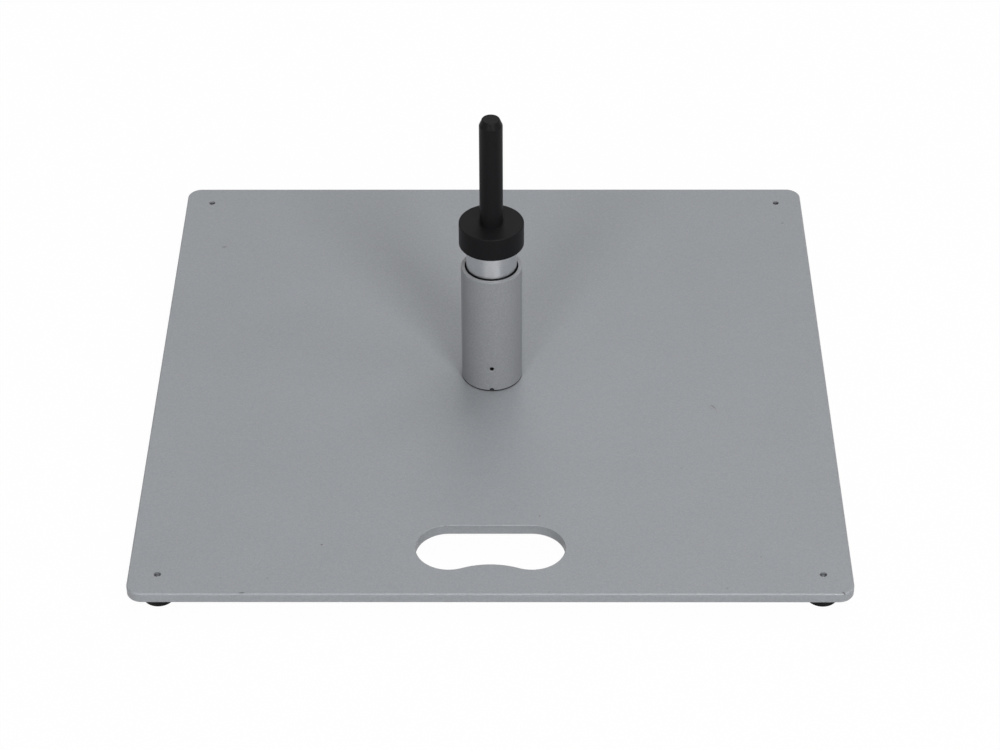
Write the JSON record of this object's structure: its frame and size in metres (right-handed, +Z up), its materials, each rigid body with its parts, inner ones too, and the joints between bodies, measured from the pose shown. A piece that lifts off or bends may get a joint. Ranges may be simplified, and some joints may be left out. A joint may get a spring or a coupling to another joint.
{
  "type": "pedestal base plate with a turning spigot",
  "caption": "Heavy square steel floor plate with a hand slot and rubber feet, and a socket tube whose bearing sleeve carries a freely turning black spigot and collar.",
  "frame": {"origin": "on the floor under the middle of the base plate", "axes": "+Z up along the spigot and the spindle's axis; -Y towards the hand slot and the drain hole; +X to the right seen from the hand slot's side"},
  "size_m": [0.5, 0.5, 0.2449],
  "materials": {
    "plate_paint": "silver-grey fine-textured powder coat, satin",
    "tube_paint": "silver-grey powder coat, satin",
    "turned_aluminium": "fine turned, bright",
    "black_coat": "black coat, satin",
    "black_moulding": "moulded black plastic, satin",
    "foot_rubber": "black rubber, matt",
    "zinc_steel": "bright zinc plate",
    "plain_steel": "plain turned steel",
    "spring_steel": "phosphated spring steel",
    "bronze": "sintered bronze, oiled"
  },
  "bodies": {
    "base": {"base_plate": "plate_paint", "socket_tube": "tube_paint", "socket_plug": "plain_steel", "socket_bolt": "zinc_steel", "bearing_sleeve": "turned_aluminium", "bush": "bronze", "foot_front_left": "foot_rubber", "foot_washer_front_left": "zinc_steel", "foot_screw_front_left": "zinc_steel", "foot_front_right": "foot_rubber", "foot_washer_front_right": "zinc_steel", "foot_screw_front_right": "zinc_steel", "foot_rear_left": "foot_rubber", "foot_washer_rear_left": "zinc_steel", "foot_screw_rear_left": "zinc_steel", "foot_rear_right": "foot_rubber", "foot_washer_rear_right": "zinc_steel", "foot_screw_rear_right": "zinc_steel"},
    "spindle": {"spigot": "black_coat", "collar": "black_moulding", "retaining_ring": "spring_steel"}
  },
  "joints": [
    {"name": "spindle_spin", "type": "hinge", "parent": "base", "child": "spindle", "pos_m": [0, 0, 0.1405], "axis": [0, 0, 1], "continuous": true}
  ]
}
